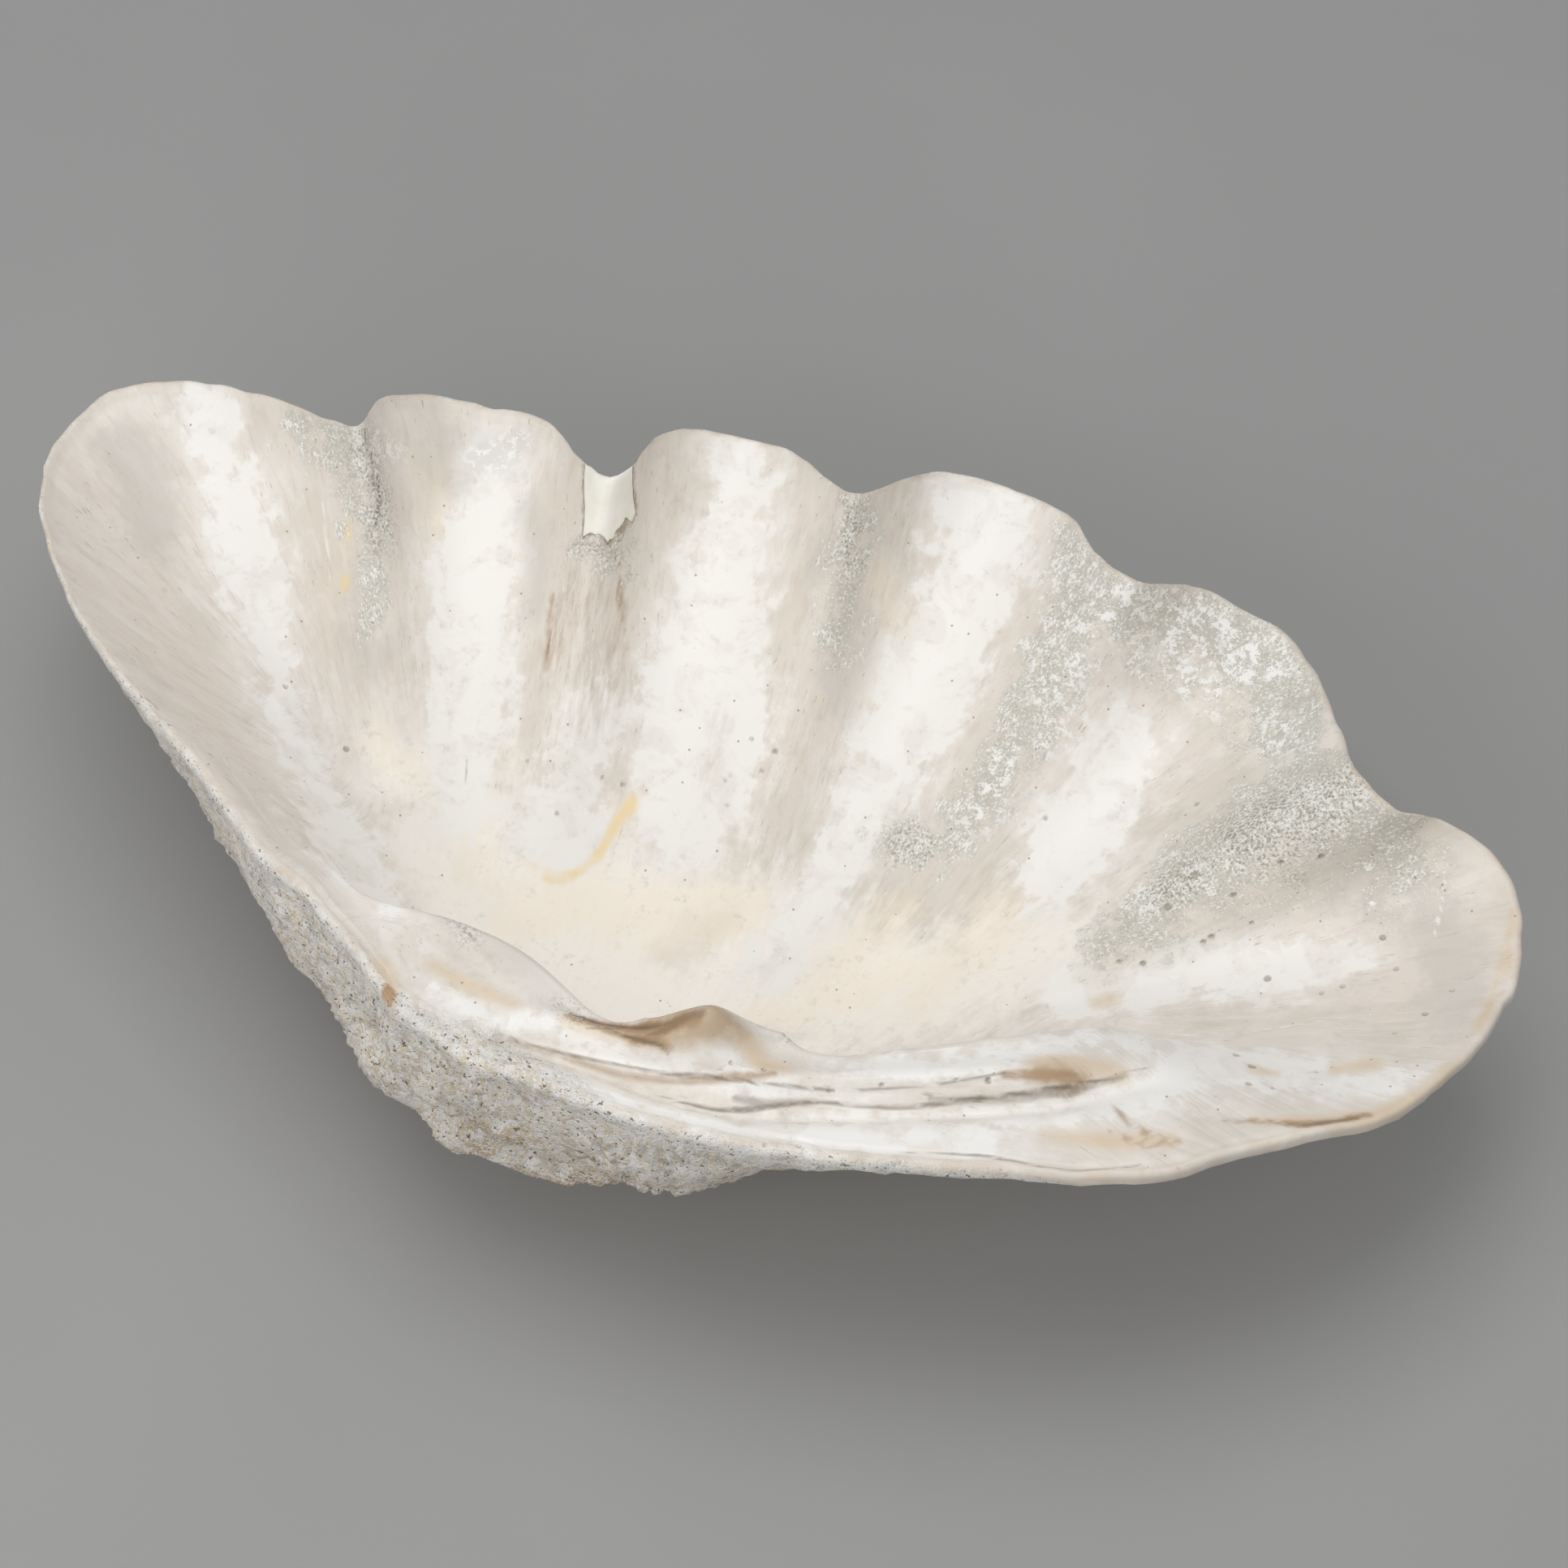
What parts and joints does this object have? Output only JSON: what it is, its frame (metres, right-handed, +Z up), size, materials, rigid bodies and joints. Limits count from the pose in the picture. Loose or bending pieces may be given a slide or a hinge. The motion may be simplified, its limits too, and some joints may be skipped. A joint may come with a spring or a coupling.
{
  "type": "fossil giant clam valve",
  "caption": "Left valve of a fossil giant clam, polished white inside with wavy rim, hinge tooth and groove, crusted outside, a small filler patch mended into one rim notch.",
  "frame": {"origin": "middle of the valve seen from above, at the level of the worn undersides that it rests on", "axes": "+X along the hinge towards the hind end, +Y from the hinge towards the wavy open side, +Z up, out of the hollow"},
  "size_m": [0.7788, 0.4321, 0.2118],
  "materials": {
    "shell": "polished inside, rough crust outside",
    "filler": "smooth, matt"
  },
  "bodies": {
    "root": {"valve": "shell", "notch_mend": "filler"}
  },
  "joints": []
}
